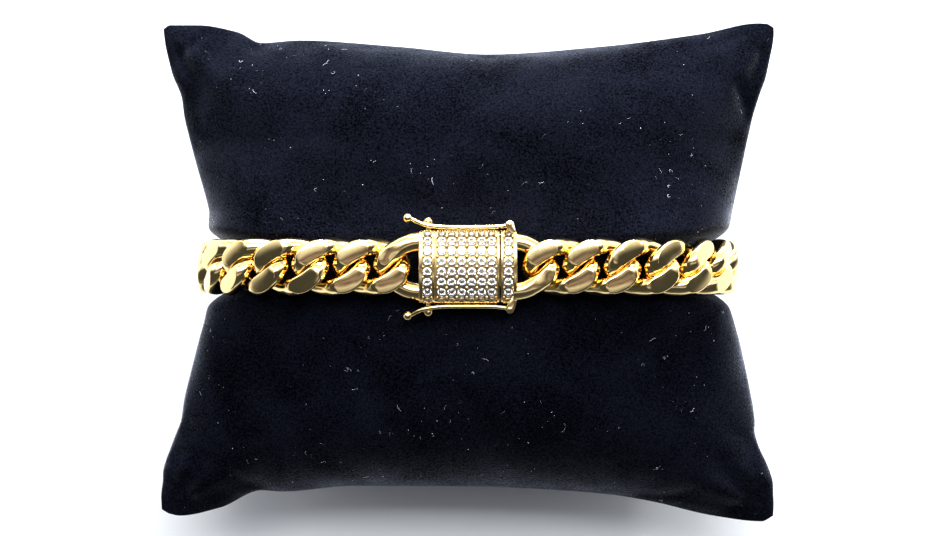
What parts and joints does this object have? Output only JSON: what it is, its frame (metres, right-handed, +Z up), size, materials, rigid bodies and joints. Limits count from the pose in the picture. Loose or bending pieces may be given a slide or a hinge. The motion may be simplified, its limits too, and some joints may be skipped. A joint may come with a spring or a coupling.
{
  "type": "cuban link bracelet on display pillow",
  "caption": "Gold cuban link chain bracelet with a stone-set box clasp and wire safety latches, closed round a small black velvet display pillow that lies on its back.",
  "frame": {"origin": "on the table, under the middle of the display pillow", "axes": "+X along the front of the bracelet, from the box to the tongue of the clasp; +Y across the chain; +Z up, out of the clasp's face"},
  "size_m": [0.0966, 0.078, 0.0432],
  "materials": {
    "gold_chain": "polished gold plating",
    "gold_clasp": "polished gold plating",
    "stones": "clear, faceted",
    "velvet": "short-pile velvet"
  },
  "bodies": {
    "bracelet": {"link_01": "gold_chain", "link_02": "gold_chain", "link_03": "gold_chain", "link_04": "gold_chain", "link_05": "gold_chain", "link_06": "gold_chain", "link_07": "gold_chain", "link_08": "gold_chain", "link_09": "gold_chain", "link_10": "gold_chain", "link_11": "gold_chain", "link_12": "gold_chain", "link_13": "gold_chain", "link_14": "gold_chain", "link_15": "gold_chain", "link_16": "gold_chain", "link_17": "gold_chain", "link_18": "gold_chain", "link_19": "gold_chain", "link_20": "gold_chain", "link_21": "gold_chain", "link_22": "gold_chain", "link_23": "gold_chain", "link_24": "gold_chain", "link_25": "gold_chain", "link_26": "gold_chain", "link_27": "gold_chain", "link_28": "gold_chain", "link_29": "gold_chain", "link_30": "gold_chain", "link_31": "gold_chain", "clasp_box": "gold_clasp", "clasp_tongue": "gold_clasp", "stones_box": "stones", "stones_cap": "stones", "pillow": "velvet"},
    "latch_top": {"latch_top": "gold_clasp"},
    "latch_bottom": {"latch_bottom": "gold_clasp"}
  },
  "joints": [
    {"name": "latch_top_swing", "type": "hinge", "parent": "bracelet", "child": "latch_top", "pos_m": [0.006, 0.00645, 0.0398], "axis": [0, 0, 1], "range_deg": [-110, 0]},
    {"name": "latch_bottom_swing", "type": "hinge", "parent": "bracelet", "child": "latch_bottom", "pos_m": [0.006, -0.00565, 0.0398], "axis": [0, 0, 1], "range_deg": [0, 110]}
  ]
}
